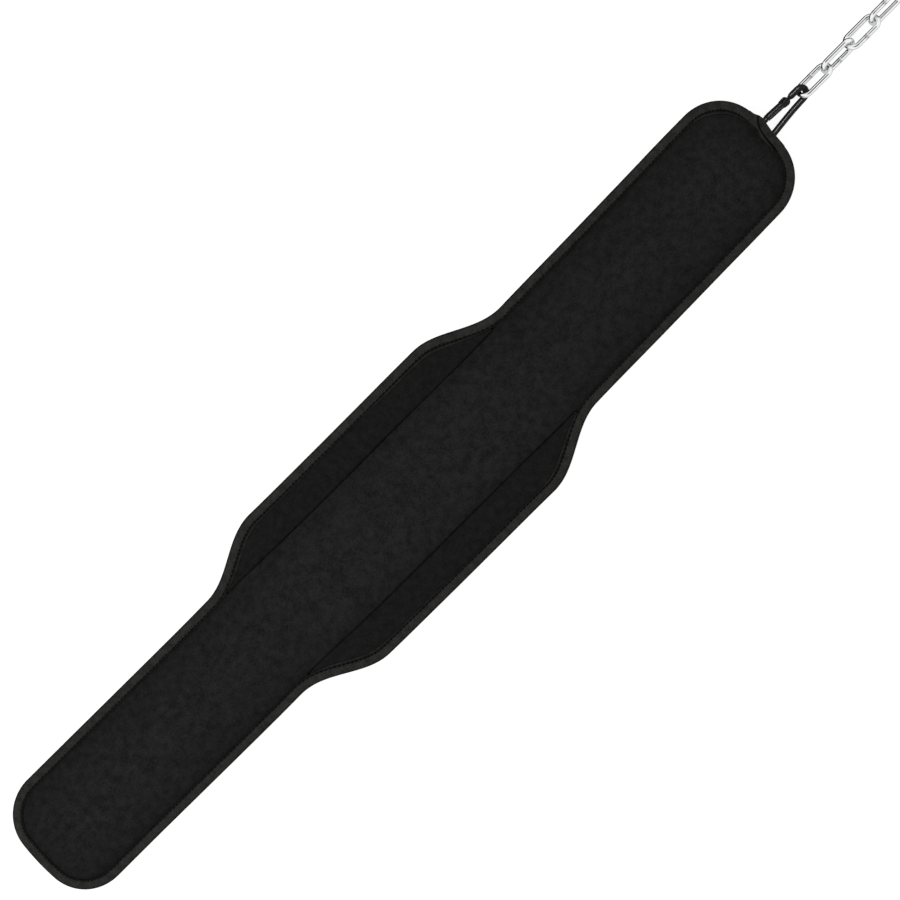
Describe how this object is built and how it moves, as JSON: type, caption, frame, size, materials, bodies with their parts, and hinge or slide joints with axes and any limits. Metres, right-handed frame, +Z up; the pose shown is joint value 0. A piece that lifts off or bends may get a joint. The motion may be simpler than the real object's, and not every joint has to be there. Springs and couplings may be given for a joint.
{
  "type": "dip belt",
  "caption": "Padded waist belt for weighted dips, wide at the back, bound with folded tape, with a sprung snap hook and a length of chain at one tip.",
  "frame": {"origin": "middle of the belt's underside, on the surface that it lies on", "axes": "+X along the belt towards the snap hook and chain, +Y across the belt, +Z up, out of the lining"},
  "size_m": [0.9577, 0.156, 0.0229],
  "materials": {
    "lining": "matte knit laminated on foam",
    "edge_tape": "matte woven tape",
    "webbing": "plain woven webbing",
    "black_steel": "black coating, semi-gloss",
    "zinc_steel": "bright plated steel"
  },
  "bodies": {
    "root": {"centre_band": "lining", "wing_left": "lining", "wing_right": "lining", "edge_binding": "edge_tape", "binding_lap": "edge_tape", "anchor_loop_hook": "webbing", "anchor_loop_plain": "webbing", "hook_body": "black_steel", "chain_link_1": "zinc_steel", "chain_link_2": "zinc_steel", "chain_link_3": "zinc_steel", "chain_link_4": "zinc_steel"},
    "gate": {"hook_gate": "black_steel"}
  },
  "joints": [
    {"name": "gate_hinge", "type": "hinge", "parent": "root", "child": "gate", "pos_m": [0.4299, 0.00727, 0.00964], "axis": [0.0324, -0.5686, 0.822], "range_deg": [0, 18], "stiffness_Nm_per_rad": 0.05, "springref_deg": -14.32}
  ]
}
